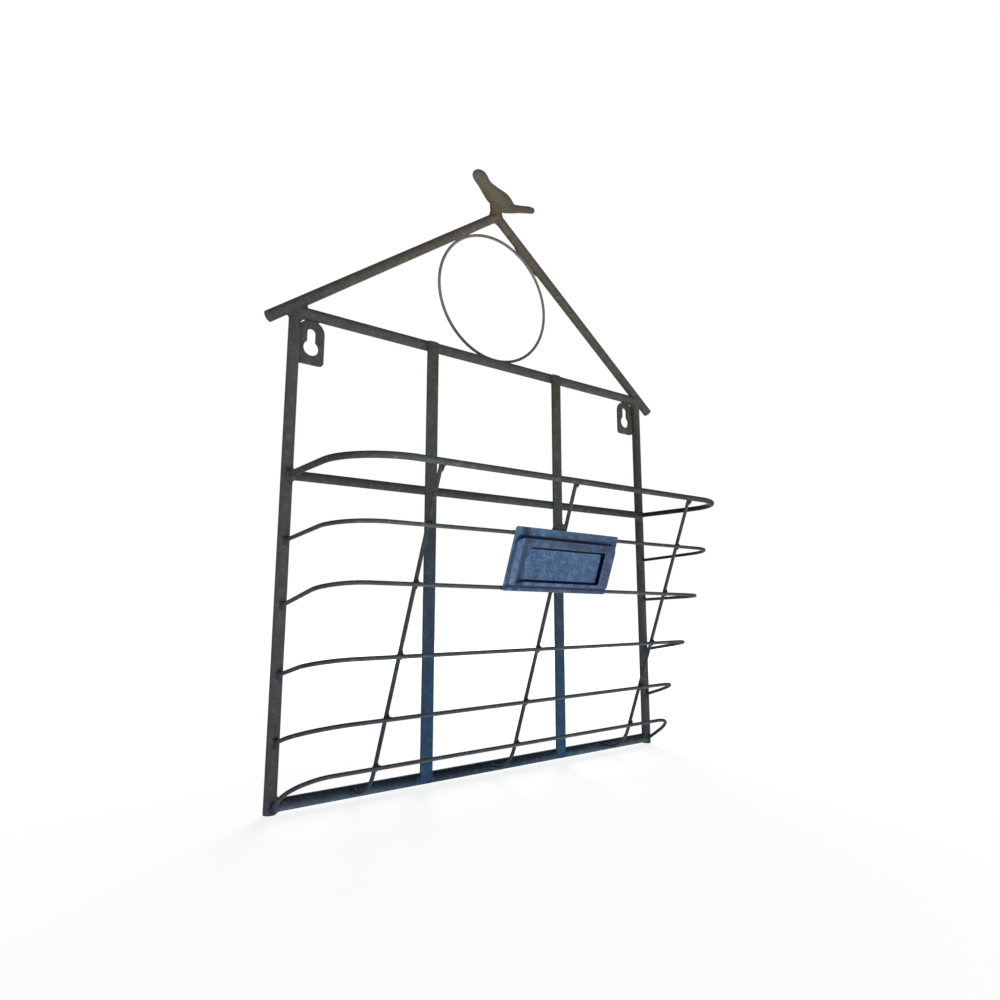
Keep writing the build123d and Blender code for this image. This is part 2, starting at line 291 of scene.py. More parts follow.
def rod_weld(start, way, radius, other, other_way, other_radius, leg, seed):
    """The weld where a rod runs into the side of another. For each angle round the first rod, the line
    along its surface is solved against the second rod's cylinder, a quadratic in the distance along
    the line. The weld's feet go back along the first rod and out along the second one's surface, and
    all of it stays above the ends of the posts and in front of their backs."""
    stations, unevenness, proud = 56, 0.35, 0.01
    start, other = np.array(start, float), np.array(other, float)
    way, other_way = unit(way), unit(other_way)
    side = unit(np.cross(way, other_way))
    turn = np.linspace(0, 2 * np.pi, stations, endpoint=False)
    out = np.cos(turn)[:, None] * side + np.sin(turn)[:, None] * np.cross(side, way)
    edge = start + radius * out
    gap = edge - other
    gap = gap - (gap @ other_way)[:, None] * other_way
    step = way - (way @ other_way) * other_way
    b = gap @ step / (step @ step)
    c = ((gap**2).sum(1) - other_radius**2) / (step @ step)
    corner = edge + (-b - np.sqrt(np.maximum(b**2 - c, 0)))[:, None] * way
    normal = corner - other
    normal = unit(normal - (normal @ other_way)[:, None] * other_way)
    away = out - (out * normal).sum(1)[:, None] * normal
    size = leg * wobble(turn, seed, unevenness)[:, None]
    foot = corner + size * away - other
    along = (foot @ other_way)[:, None] * other_way
    foot = other + along + (other_radius + proud) * unit(foot - along)
    back = -way * size * np.linalg.norm(away, axis=1)[:, None] + proud * out
    points, quads, fans = fillet(corner, back, foot - corner, ring=True)
    points[:, 1] = np.minimum(points[:, 1], wall_side)
    points[:, 2] = np.maximum(points[:, 2], post_end)
    return points, quads, fans


def web(corner, leg_one, leg_two, through):
    """A concave web of weld in the angle of two rods. Its corner line runs through their depth, and
    its legs swell along it as the square root of one less the square of the place, all but a little."""
    stations, roundness = 11, 0.98
    run = np.linspace(-1, 1, stations)[:, None]
    swell = np.sqrt(1 - roundness * run**2)
    line = np.array(corner, float) + run * np.array(through, float)
    return fillet(line, swell * np.array(leg_one, float), swell * np.array(leg_two, float))


def weld_drop(middle, along, across, sizes, seed):
    """A drop of weld metal: an ellipsoid on two given axes and their normal, swollen and pinched by
    waves of the angles round it."""
    rows, columns, pinch, skew = 13, 20, 0.10, 0.08
    along, across = unit(along), unit(across)
    normal = np.cross(along, across)
    phase = np.random.default_rng(seed).uniform(0, 2 * np.pi, 2)
    lift = np.linspace(-np.pi / 2, np.pi / 2, rows)[1:-1, None]
    turn = np.linspace(0, 2 * np.pi, columns, endpoint=False)[None, :]
    waves = pinch * np.sin(2 * turn + phase[0]) + skew * np.sin(turn + 3 * lift + phase[1])
    swell = 1 + np.cos(lift) * waves
    round_axis = np.cos(lift) * np.cos(turn), np.cos(lift) * np.sin(turn)
    shape = np.stack([*round_axis, np.sin(lift) + 0 * turn], -1)
    shape = shape * swell[..., None] * np.array(sizes)
    return skin(np.array(middle) + shape @ np.stack([along, across, normal]))


# Height, depth and radius of each rod between the posts, the leg of its welds and their seed
cross_rods = [
    (tie_height, 0, rod_radius, 3.2, 11),
    (middle_height, middle_depth, rail_radius, 2.0, 21),
    (0, 0, rod_radius, 2.2, 31),
]
below_eaves, eaves_leg, eaves_seed = 200, 2.4, 41
# A drop in the wedge between each rafter and the tie beam
wedge_inset, wedge_height, wedge_slope, wedge_sizes, wedge_seed = 4.6, 246.3, 0.33, (2.6, 2.1, 0.9), 51
frame_welds = []
for side in (-1, 1):
    post = (side * post_x, 0, 0)
    for height, depth, radius, leg, seed in cross_rods:
        start, way = (0, depth, height), side * sideways
        frame_welds.append(
            rod_weld(start, way, radius, post, upright, rod_radius, leg, seed + side)
        )
    start, ridge = (side * post_x, 0, below_eaves), (0, 0, ridge_height)
    rafter_way = (-side * math.cos(pitch), 0, math.sin(pitch))
    frame_welds += [
        rod_weld(
            start, upright, rod_radius, ridge, rafter_way, rod_radius, eaves_leg, eaves_seed + side
        ),
        weld_drop(
            (side * (post_x - wedge_inset), 0, wedge_height), (-side, 0, wedge_slope), (0, 1, 0),
            wedge_sizes, wedge_seed + side,
        ),
    ]
mitre = rod_radius / math.cos(pitch)
ridge_leg, ridge_depth, sunk = 3.0, 2.0, 0.2
down_left, down_right = (
    ridge_leg * np.array([side * math.cos(pitch), 0, -math.sin(pitch)]) for side in (-1, 1)
)
frame_welds.append(
    web((0, 0, ridge_height - mitre + sunk), down_left, down_right, (0, ridge_depth, 0))
)
# The bead round the mitre of the rafters, flat where it meets the wall
bead_radius, bead_sunk, bead_spread, bead_seed, bead_unevenness = 0.6, 0.4, 1.6, 61, 0.4
seam_points, bead_points = 60, 10
turn = np.linspace(0, 2 * np.pi, seam_points, endpoint=False)
seam = np.stack([0 * turn, rod_radius * np.cos(turn), ridge_height + mitre * np.sin(turn)], -1)
outward = unit(seam - np.array([0, 0, ridge_height]))
thick = bead_radius * wobble(turn, bead_seed, bead_unevenness)[:, None, None]
bead = np.linspace(0, 2 * np.pi, bead_points, endpoint=False)[None, :, None]
ridge_bead = (seam - bead_sunk * outward)[:, None] + thick * (
    np.cos(bead) * outward[:, None] + bead_spread * np.sin(bead) * sideways
)
ridge_bead[..., 1] = np.minimum(ridge_bead[..., 1], wall_side)
frame_welds.append(skin(ridge_bead, ring=True))
make_piece("frame_welds", frame_welds, charcoal)

# Gable ring: a circle of thin steel wire that touches both rafters and the tie beam near their backs,
# with a drop of weld at each touch. The wire's paint is lightest halfway up the ring.

ring_grey = satin_paint(
    "ring_satin_paint", [(0.68, "#4b4b48"), (0.74, "#686761"), (0.86, "#6e6d67"), (0.9, "#4b4943")]
)
coat(ring_grey, "gable_ring")


def box_mm(node):
    """A solid's lowest and highest corners, in millimetres from the bottom rail's axis."""
    return [np.array(corner) * 1000 - rail_axis * 1000 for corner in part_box(node)]


ring_low, ring_high = box_mm("gable_ring")
ring_middle = (ring_low + ring_high) / 2
ring_wire = (ring_high[1] - ring_low[1]) / 2
ring_radius = (ring_high[0] - ring_low[0]) / 2 - ring_wire
# Across and up from the ring's middle to each touch, and half the length of the weld there
touches = [
    (0, -1, 4.6), (math.sin(pitch), math.cos(pitch), 11.0), (-math.sin(pitch), math.cos(pitch), 7.0)
]
to_rod, drop_out, drop_radius, ring_seed = 3.2, 0.8, 1.1, 70
ring_welds = []
for number, (across, up, half_length) in enumerate(touches):
    touch = np.array([across, 0, up])
    wire = ring_middle + ring_radius * touch
    reach = unit(touch * to_rod - np.array([0, ring_middle[1], 0]))
    ring_welds.append(
        weld_drop(
            wire + drop_out * reach, np.cross(touch, (0, 1, 0)), reach,
            (half_length, drop_radius, drop_radius), ring_seed + number,
        )
    )
make_piece("ring_welds", ring_welds, charcoal)

# Keyhole hangers: two tabs of 1.5 mm sheet, blanked with a keyhole and welded in the corners of posts
# and tie beam, flush with the backs of the posts. A web of weld fills the corner above each tab.

coat(charcoal, "left_hanger", "right_hanger")
tab_front, hole_height, tab_inner, tab_seat = 1.5, 225.7, 116.4, 2.6
post_run, tie_run, hanger_seed, unevenness = 16, 5.6, 80, 0.3
web_across, web_down, web_depth = 5.0, 5.2, 2.5
stations, blunt_end = 24, 0.02
run = np.linspace(0, 1, stations)
rounded = np.sqrt(np.sin(np.pi * np.clip(run, blunt_end, 1 - blunt_end)))[:, None]
# From its line the feet of each weld go over the front of the tab and up the flank of the rod
hanger_welds = []
for side in (-1, 1):
    swell = rounded * wobble(2 * run, hanger_seed + side, unevenness)[:, None]
    post_side, post_line_low = side * (post_x - tab_seat), hole_height - post_run / 2
    post_line = np.stack(
        [0 * run + post_side, 0 * run + tab_front, post_line_low + post_run * run], -1
    )
    tie_line = np.stack(
        [side * (tab_inner + tie_run * run), 0 * run + tab_front, 0 * run + tie_height - tab_seat], -1
    )
    inner_corner = (side * (post_x - rod_radius + sunk), sunk, tie_height - rod_radius + sunk)
    hanger_welds += [
        fillet(
            post_line,
            swell * np.array([-side * 1.5, -0.02, 0]), swell * np.array([-side * 0.75, -1.3, 0]),
        ),
        fillet(tie_line, swell * np.array([0, -0.02, -1.2]), swell * np.array([0, -1.0, -0.6])),
        web(inner_corner, (-side * web_across, 0, 0), (0, 0, -web_down), (0, web_depth, 0)),
    ]
make_piece("hanger_welds", hanger_welds, charcoal)

# Upright slats: two lengths of 7 by 1.5 mm flat strip laid on the fronts of the three rails, with a
# small weld down each edge where a rail passes behind. Their paint turns from blue to brown upwards,
# the blue low down being a painted blue reflection from below.

slat_blue_reflection = satin_paint(
    "slat_blue_reflection_satin_paint",
    [
        (0.0, "#2d4b69"), (0.13, "#31475f"), (0.21, "#354357"), (0.29, "#3a434d"),
        (0.4, "#434748"), (0.52, "#494a45"), (0.61, "#44423b"), (0.645, "#403f3c"),
    ],
    fleck="#848b92", fleck_share=0.25,
)
coat(slat_blue_reflection, "left_slat", "right_slat")
slat_back, half_slat, edge_leg, rail_leg, proud, slat_seed = -3.0, 3.5, 1.25, 1.6, 0.02, 90
stations, whole_run, least_swell = 15, 1.96, 0.01
# Height, depth and radius of each rail, and where a weld starts and ends under and over its axis
slat_rails = [
    (0.0, 0.0, rod_radius, -1.7, 2.5),
    (middle_height, middle_depth, rail_radius, -2.2, 2.2),
    (tie_height, 0.0, rod_radius, -2.5, 1.7),
]
slat_welds = []
for slat_x in (-49.0, 47.0):
    for rail_height, rail_depth, radius, low, high in slat_rails:
        for side in (-1, 1):
            run = np.linspace(low, high, stations)
            from_middle = (run - (low + high) / 2) / (high - low) * whole_run
            swell = np.sqrt(np.clip(1 - from_middle**2, least_swell, 1))[:, None]
            seed = int(slat_seed + slat_x + side + rail_height)
            swell = swell * wobble(run, seed, unevenness)[:, None]
            front = rail_depth - np.sqrt(radius**2 - run**2)
            corner = np.stack(
                [0 * run + slat_x + side * half_slat, front, rail_height + run], -1
            )
            up_edge = np.stack([0 * run + side * proud, slat_back - edge_leg - front, 0 * run], -1)
            along_rail = swell * np.array([side * rail_leg, -proud, 0])
            slat_welds.append(fillet(corner, up_edge * np.minimum(swell, 1), along_rail))
make_piece("slat_welds", slat_welds, slat_blue_reflection)

# Basket loops: a stout rim and five thinner wires, each bent in a U by hand and butted on the fronts
# of the posts with a small weld round each end. Drawn mild-steel wire under the same paint.

# Wires three to six: painted shade at both arms, which are darker
basket_grey = satin_paint(
    "basket_satin_paint",
    [(0.0, "#42474c"), (0.05, "#494d52"), (0.12, "#464a4f"), (0.2, "#464a4f"), (0.27, "#484c4f")],
    [(0.0, "#cecccb"), (0.04, "#f0f0ee"), (0.13, "#ffffff"), (0.86, "#ffffff"), (0.95, "#bcbcba")],
    fleck="#a0a8ab", cloud_mm=4.0,
)
# The rim and wire two: painted shade, darker to the right and darkest at the right arm
shaded_rim_grey = satin_paint(
    "shaded_rim_satin_paint",
    [(0.345, "#4f5254"), (0.42, "#4a4d4f")],
    [
        (0.0, "#b4b4b1"), (0.05, "#ececea"), (0.16, "#ffffff"), (0.3, "#e8e8e8"), (0.46, "#dedede"),
        (0.6, "#cacaca"), (0.87, "#cacaca"), (0.94, "#888886"), (1.0, "#747472"),
    ],
    fleck="#a0a5a5", cloud_mm=4.0,
)
coat(shaded_rim_grey, "basket_rim", "basket_wire_2")
coat(basket_grey, *[f"basket_wire_{k}" for k in range(3, 7)])
lean, brace_radius, brace_depth, arm_x = math.radians(20.0), 1.0, -18.5, 129.5
# Radius, height of the front run and its drop from left to right, height of the ends and their drop
loops = [
    (1.6, 155.2, 0.0, 156.0, 0.0),
    (1.0, 127.2, 1.4, 123.1, 0.2),
    (1.0, 99.8, 4.6, 93.2, -3.4),
    (1.0, 68.3, 0.4, 59.3, -1.0),
    (1.0, 39.8, -2.5, 28.2, -1.1),
    (1.0, 16.3, -1.5, -1.9, -0.4),
]
rim_leg, wire_leg, butt_seed = 3.0, 1.7, 110


def on_braces(height):
    """Depth of the plane of the braces, which lean forward, at a height."""
    return brace_depth - math.tan(lean) * height


def front_run(loop, x):
    """The axis of a loop's front run at an x: it falls evenly from left to right, and lies on the
    braces a wire and a brace radius out."""
    radius, front, front_drop = loop[:3]
    height = front - front_drop * x / (2 * arm_x)
    return np.array([x, on_braces(height) - (radius + brace_radius) / math.cos(lean), height])


basket_welds = []
for number, loop in enumerate(loops):
    for side in (-1, 1):
        radius, end_height, end_drop = loop[0], *loop[3:]
        bend = front_run(loop, side * arm_x)
        butt = np.array([side * arm_x, 0, end_height - side * end_drop / 2])
        basket_welds.append(
            rod_weld(
                bend, butt - bend, radius, (side * post_x, 0, 0), upright, rod_radius,
                rim_leg if number == 0 else wire_leg, butt_seed + 2 * number + side,
            )
        )

# Braces: three straight wires inside the basket, from the rim down past the loops and bent back to the
# bottom rail. Each crossing is welded, with small webs in its four angles, and both ends are run round.

# The braces: darker and bluer low down, where a blue reflection from below is painted in
brace_black = satin_paint(
    "brace_black_satin_paint",
    [(0.022, "#2d3844"), (0.05, "#30363c"), (0.08, "#31353a"), (0.45, "#3f4243")],
)
coat(brace_black, "left_brace", "middle_brace", "right_brace")
lean_up = np.array([0, -math.sin(lean), math.cos(lean)])
lean_out = np.array([0, -math.cos(lean), -math.sin(lean)])
rim_height, foot_height, foot_start, foot_leg, foot_seed = loops[0][1], 1.0, -12, 1.9, 170
# Place across of each brace's top and of its foot, and the legs of the welds left and right of its top
braces = [(-85.5, -89.6, (2.0, 3.6)), (-3.3, -5.2, (1.8, 2.2)), (89.9, 85.9, (1.6, 3.0))]
top_inset, top_out, top_rise, top_fall, top_depth = 0.8, 1.2, 0.1, 1.2, 0.9
drop_sizes, drop_seed = (1.5, 1.3, 0.9), 200
web_inset, web_depth, least_leg, most_leg, web_seed = 0.75, 0.8, 0.6, 1.9, 130
for number, (top_x, foot_x, top_legs) in enumerate(braces):
    top = np.array([top_x, on_braces(rim_height), rim_height])
    foot = np.array([foot_x, on_braces(foot_height), foot_height])
    way = unit(top - foot)
    for side, leg in zip((-1, 1), top_legs):
        corner = top + top_inset * side * sideways + top_out * lean_out + top_rise * lean_up
        across, down = leg * side * sideways, -top_fall * leg * way
        basket_welds.append(web(corner, across, down, top_depth * lean_out))
    for row, loop in enumerate(loops[1:]):
        share = (loop[1] - foot_height) / (rim_height - foot_height)
        crossing = front_run(loop, foot_x + share * (top_x - foot_x)) - loop[0] * lean_out
        chance = np.random.default_rng(web_seed + 10 * number + row)
        basket_welds.append(
            weld_drop(crossing, sideways, way, drop_sizes, drop_seed + 10 * number + row)
        )
        for side in (-1, 1):
            for rise in (-1, 1):
                legs = chance.uniform(least_leg, most_leg, 2)
                corner = crossing + web_inset * side * sideways + web_inset * rise * way
                across, along = legs[0] * side * sideways, legs[1] * rise * way
                basket_welds.append(web(corner, across, along, web_depth * lean_out))
    basket_welds.append(
        rod_weld(
            (foot_x, foot_start, foot_height), (0, 1, 0), brace_radius,
            (0, 0, 0), sideways, rod_radius, foot_leg, foot_seed + number,
        )
    )
make_piece("basket_welds", basket_welds, brace_black)

# Label holder: a 1 mm plate laid on the fronts of wires two and three, with a pressed sheet frame on it
# that is open at the top, and a blank card-sized insert. Hammer-finish lacquer on steel sheet, whose
# slate blue is a painted blue reflection from below.

plate_low, plate_high = box_mm("label_plate")
label_middle = (plate_low + plate_high) / 2
label_turn = math.radians(-1.2)
label_across = math.cos(label_turn) * sideways + math.sin(label_turn) * lean_up
label_up = -math.sin(label_turn) * sideways + math.cos(label_turn) * lean_up


def hammer_lacquer(name, tones, bright, violet_share, fold_shade_share, left_light):
    """Hammer-finish lacquer. To the eye it is a cloudy slate blue, a painted blue reflection from
    below, with violet patches, pale flecks and dark pits in a low relief. It is worn paler along
    raised edges, as the piece's own attribute edge says; it is painted dark as shade inside the
    pocket, as another attribute of the piece says, and down the fold on the left; and it darkens
    from left to right as painted light from the left."""
    cloud_mm, patch_mm, hammer_mm, relief_depth = 4.5, 14, 1.3, 0.00012
    half_label, both_sides, fold_sides = 36, 1.95, ((-32.2, -29.6), (-25.0, -27.2))
    paint = bpy.data.materials.new(name)
    paint.use_nodes = True
    tree = paint.node_tree
    shader = tree.nodes["Principled BSDF"]
    place = add(tree, "ShaderNodeTexCoord").outputs["Object"]
    cloud = add(
        tree, "ShaderNodeTexNoise", {"Vector": place},
        Scale=1000 / cloud_mm, Detail=4.0, Roughness=0.62, Distortion=0.4,
    ).outputs["Fac"]
    tone = colour_stops(add(tree, "ShaderNodeValToRGB", {"Fac": cloud}), tones)
    patch = add(
        tree, "ShaderNodeTexNoise", {"Vector": place},
        Scale=1000 / patch_mm, Detail=2.0, Roughness=0.5,
    ).outputs["Fac"]
    violet = add(
        tree, "ShaderNodeMapRange", {"Value": patch},
        From_Min=0.48, From_Max=0.66, To_Min=0.0, To_Max=violet_share,
    ).outputs["Result"]
    body = add(tree, "ShaderNodeMix", {0: violet, 6: tone}, data_type="RGBA")
    body.inputs[7].default_value = linear("#585f7d")
    hammer = add(
        tree, "ShaderNodeTexNoise", {"Vector": place},
        Scale=1000 / hammer_mm, Detail=3.0, Roughness=0.65,
    ).outputs["Fac"]
    pits = add(
        tree, "ShaderNodeMapRange", {"Value": hammer},
        From_Min=0.3, From_Max=0.7, To_Min=0.56, To_Max=1.44,
    ).outputs["Result"]
    body = add(tree, "ShaderNodeVectorMath", {0: body.outputs[2], 1: pits}, operation="MULTIPLY")
    across = add(tree, "ShaderNodeSeparateXYZ", {"Vector": place}).outputs["X"]
    # Painted light from the left: the lacquer is darkened from left to right
    fade = add(
        tree, "ShaderNodeMapRange", {"Value": across},
        From_Min=(label_middle[0] - half_label) / 1000,
        From_Max=(label_middle[0] + half_label) / 1000,
        To_Min=left_light, To_Max=both_sides - left_light,
    ).outputs["Result"]
    body = add(tree, "ShaderNodeVectorMath", {0: body.outputs[0], 1: fade}, operation="MULTIPLY")
    edge = add(tree, "ShaderNodeAttribute", attribute_name="edge").outputs["Fac"]
    rub = add(tree, "ShaderNodeMath", {0: edge, 1: hammer}, operation="MULTIPLY").outputs[0]
    body = add(tree, "ShaderNodeMix", {0: rub, 6: body.outputs[0]}, data_type="RGBA")
    body.inputs[7].default_value = linear(bright)
    # Painted shade down the fold on the left
    left, right = (
        add(
            tree, "ShaderNodeMapRange", {"Value": across}, interpolation_type="SMOOTHSTEP",
            From_Min=(label_middle[0] + start) / 1000, From_Max=(label_middle[0] + end) / 1000,
        ).outputs["Result"]
        for start, end in fold_sides
    )
    fold_shade = add(tree, "ShaderNodeMath", {0: left, 1: right}, operation="MULTIPLY").outputs[0]
    fold_shade = add(tree, "ShaderNodeMath", {0: fold_shade}, in_1=fold_shade_share, operation="MULTIPLY").outputs[0]
    painted_shade = add(tree, "ShaderNodeAttribute", attribute_name="painted_shade").outputs["Fac"]
    dark = add(tree, "ShaderNodeMath", {0: painted_shade, 1: fold_shade}, operation="MAXIMUM").outputs[0]
    # Painted shade: near-black navy where the piece's shade attribute or the fold says
    body = add(tree, "ShaderNodeMix", {0: dark, 6: body.outputs[2]}, data_type="RGBA")
    body.inputs[7].default_value = linear("#0a1a33")
    tree.links.new(body.outputs[2], shader.inputs["Base Color"])
    dull = add(
        tree, "ShaderNodeMapRange", {"Value": cloud},
        From_Min=0.3, From_Max=0.7, To_Min=0.42, To_Max=0.58,
    )
    tree.links.new(dull.outputs["Result"], shader.inputs["Roughness"])
    relief = add(tree, "ShaderNodeBump", {"Height": hammer}, Strength=0.8, Distance=relief_depth)
    tree.links.new(relief.outputs["Normal"], shader.inputs["Normal"])
    shader.inputs["Specular IOR Level"].default_value = 0.2
    return paint


arc_points, side_points = 9, 12


def outline(width, height, radii, middle):
    """Points round a rectangle with a radius at each corner, from the lower right corner
    anticlockwise: each corner is a quarter circle and each side is divided evenly, so outlines match
    point for point."""
    corners = np.array([(1, -1), (1, 1), (-1, 1), (-1, -1)])
    radii = np.array(radii, float)[:, None]
    centres = corners * (np.array([width, height]) / 2 - radii)
    turn = np.radians([-90, 0, 90, 180])[:, None] + np.linspace(0, np.pi / 2, arc_points)
    arcs = centres[:, None] + radii[:, None] * np.stack([np.cos(turn), np.sin(turn)], -1)
    run = np.linspace(0, 1, side_points + 2)[None, 1:-1, None]
    sides = arcs[:, -1:] + run * (np.roll(arcs[:, 0], -1, axis=0) - arcs[:, -1])[:, None]
    return np.concatenate([arcs, sides], axis=1).reshape(-1, 2) + middle


def label_points(flat, out):
    """Points of the label's plane, across and up it and out from the middle of the plate's
    thickness."""
    in_plane = label_middle + flat[..., :1] * label_across + flat[..., 1:] * label_up
    return in_plane + np.asarray(out)[..., None] * lean_out


def shrink(points, inset, middle):
    """An outline drawn in towards its middle by a distance, or by one for each of its points."""
    half = np.abs(points - middle).max(axis=0)
    return middle + (points - middle) * (1 - np.asarray(inset, float).reshape(-1, 1) / half)


def mark(piece, name, values):
    """Keeps a number at each point of a piece, for its paint to read."""
    layer = piece.data.attributes.new(name, "FLOAT", "POINT")
    numbers = np.concatenate([np.ravel(v) for v in values])
    layer.data.foreach_set("value", numbers.astype(np.float32))


plate_middle, holder_middle = np.array([0.5, 0.0]), np.array([0.0, -0.5])
window_middle, insert_middle = np.array([-0.4, -1.7]), np.array([0.15, -1.85])
plate_outline = outline(72.0, 33.4, (1.0, 1.0, 1.4, 1.0), plate_middle)
holder_outline = outline(69.0, 24.4, (1.0, 4.0, 4.0, 1.0), holder_middle)
window_outline = outline(55.0, 18.2, (1.0, 1.0, 1.0, 1.0), window_middle)
insert_outline = outline(50.3, 15.9, (0.4, 0.4, 0.4, 0.4), insert_middle)
even = np.ones(len(plate_outline))
# Which way each point of the outlines faces: the corner's own arc turns from one side to the next
facing = np.concatenate([np.linspace(0, 1, arc_points), np.ones(side_points)])
facing = (np.arange(4)[:, None] + facing).ravel() * np.pi / 2 - np.pi / 2
to_right, to_left = (np.clip(side * np.cos(facing), 0, 1) ** 2 for side in (1, -1))
to_top, to_bottom = (np.clip(side * np.sin(facing), 0, 1) ** 2 for side in (1, -1))

plate_lacquer = hammer_lacquer(
    "hammer_lacquer_blue_reflection",
    [(0.3, "#283f5d"), (0.5, "#364f6f"), (0.7, "#4d688a")], "#7c91ae",
    violet_share=0.22, fold_shade_share=0.7, left_light=1.27,
)
# Inset from the plate's outline, distance out and wear of each ring of points, from back to face
plate_face, shaded_foot = 0.5, 0.28
plate_rows = [
    (6.0, -plate_face, 0), (0.5, -plate_face, 0), (0.15, -0.42, 0.2), (0.0, -0.2, 0.2),
    (0.0, 0.2, 0.2), (0.15, 0.42, 0.3), (0.5, plate_face, 0),
]
plate_rings = [
    label_points(shrink(plate_outline, inset, plate_middle), out * even)
    for inset, out, _ in plate_rows
]
# Rings on the face round the foot of the frame: painted shade in its open mouth and under the frame,
# and a painted shadow below its lower edge
mouth = 0.15 + 0.85 * to_top**2 + 0.7 * to_bottom**2
mouth_rows = [
    -0.25 - 0.95 * to_top - 2.3 * to_bottom, -0.1 - 0.75 * to_top - 1.8 * to_bottom,
    0.05 * even, 1.0 * even,
]
plate_rings += [
    label_points(shrink(holder_outline, inset, holder_middle), plate_face * even)
    for inset in mouth_rows
]
plate = make_piece("label_plate_sheet", [skin(np.stack(plate_rings))], plate_lacquer)
wear = [wear * even for _, _, wear in plate_rows] + [0 * even] * len(mouth_rows)
mark(plate, "edge", wear + [[0, 0]])
shade = [shaded_foot * to_bottom] * (len(plate_rows) + 1) + [mouth, mouth, even]
mark(plate, "painted_shade", shade + [[0, 1]])
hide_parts("label_plate")

# The frame's section runs up its outer wall, over a rounded edge, across the front and down its inner
# lip; on the left it folds down in a long slope to the plate, and along the top there is no outer wall.
stand, sheet, edge_radius, land = 2.6, 0.8, 0.45, 0.3
valley_share, valley_level, insert_level = 0.6, 0.6, 1.1
inside, shoulder, clear, hollow, pocket = stand - sheet, 0.3 * edge_radius, 0.02, 1.0, 3.8
limb = window_outline - holder_outline
limb_width = np.linalg.norm(limb, axis=1)
limb_way = limb / limb_width[:, None]
slope_start, slope_end = limb_width - 3.6, limb_width + 2.75
to_fold = np.maximum(np.repeat([0, 0, 1, 0], len(even) // 4), np.minimum(8 * to_left, 1.0))
wall_foot = (to_top > 0.8) * inside
in_shade = 0.36 * to_top + 0.12 * to_right


def lip(reach, out, share):
    """A row of the inner lip, as a distance over the limb and one out from the plate: as given, or on
    the left a share of the way along the fold, straight down to a valley and up to the insert's
    face."""
    along = slope_start + share * (slope_end - slope_start)
    level = np.interp(share, [0.0, valley_share, 1.0], [stand, valley_level, insert_level])
    return reach * (1 - to_fold) + along * to_fold, out * (1 - to_fold) + level * to_fold


# Distance over the limb, distance out from the plate, wear and painted shade of each ring of
# points; the back of the sheet is painted dark as shade
frame_rows = [
    (0 * even, wall_foot, 0.0, to_top),
    (0 * even, (stand - edge_radius) * even, 0.2, 0.9 * to_top),
    (shoulder * even, (stand - shoulder) * even, 0.4, 0.5 * to_top),
    (edge_radius * even, stand * even, 0.3, in_shade),
    (edge_radius + land * even, stand * even, 0.0, in_shade),
    (*lip(limb_width - edge_radius - land, stand * even, 0.0), 0.0, in_shade),
    (*lip(limb_width - edge_radius, stand * even, 0.08), 0.3, in_shade),
    (*lip(limb_width - shoulder, (stand - shoulder) * even, 0.35), 0.3, 0.4 * to_top),
    (*lip(limb_width, (stand - edge_radius) * even, valley_share), 0.0, 1 - to_fold),
    (*lip(limb_width, inside * even, 1.0), 0.0, 1 - to_fold),
    (*lip(limb_width - land, (inside - clear) * even, 0.97), 0.0, even),
    (limb_width - land - pocket * to_fold, inside - clear - hollow * to_fold, 0.0, even),
    (sheet * even, (inside - clear) * even, 0.0, even),
    (sheet * even, np.minimum(wall_foot, inside - 2 * clear), 0.0, even),
]
frame_rings = [
    label_points(holder_outline + limb_way * over[:, None], plate_face + out)
    for over, out, _, _ in frame_rows
]
# Behind the lip the sheet steps back, and behind the fold it is a millimetre thick
behind_lip = 10
step_back = (clear + hollow * to_fold)[:, None] * lean_out
frame_rings[behind_lip] = frame_rings[behind_lip] - step_back
holder = make_piece(
    "label_frame_pressing", [skin(np.stack(frame_rings), ring=True)], plate_lacquer
)
mark(holder, "edge", [wear * even for _, _, wear, _ in frame_rows])
mark(holder, "painted_shade", [shade_share for _, _, _, shade_share in frame_rows])
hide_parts("label_frame")

insert_lacquer = hammer_lacquer(
    "insert_lacquer_blue_reflection",
    [(0.3, "#294567"), (0.5, "#345073"), (0.7, "#456286")], "#7795b9",
    violet_share=0.12, fold_shade_share=0.0, left_light=1.02,
)
# Inset from the insert's outline, distance out and wear of each ring of points
insert_rows = [
    (0.0, plate_face, 0), (0.0, 1.4, 0.6), (0.1, 1.62, 0.8), (0.35, 1.7, 0.2), (0.7, 1.7, 0)
]
insert_rings = [
    label_points(shrink(insert_outline, inset, insert_middle), out * even)
    for inset, out, _ in insert_rows
]
insert = make_piece(
    "label_insert_blank", [skin(np.stack(insert_rings))], insert_lacquer
)
mark(insert, "edge", [wear * even for _, _, wear in insert_rows] + [[0, 0]])
mark(insert, "painted_shade", [0 * even] * len(insert_rows) + [[0, 0]])
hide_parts("label_insert")

# Welds of the plate: a small run on each wire at its sides, and a broad one behind its top edge, over
# to the middle brace, in the paint of the right post.
broad_middle, broad_sizes, broad_seed = (-8.6, -67.4, 130.9), (4.9, 2.7, 1.5), 229
run_out, run_sizes, run_seed = 0.3, (2.2, 1.1, 1.0), 230
label_welds = [weld_drop(broad_middle, sideways, lean_up, broad_sizes, broad_seed)]
for number, loop in enumerate(loops[1:3]):
    for side, place in ((-1, -35.6), (1, 36.8)):
        middle = front_run(loop, label_middle[0] + place) + run_out * lean_out
        seed = run_seed + 2 * number + side
        label_welds.append(weld_drop(middle, sideways, lean_up, run_sizes, seed))
make_piece("label_welds", label_welds, shaded_post_black)

# Bird on the ridge: a small solid casting with a flat back, its foot brazed over the joint of the
# rafters. Body, tail and foot are swept ellipses, fused and smoothed as in the casting. Olive-brown.

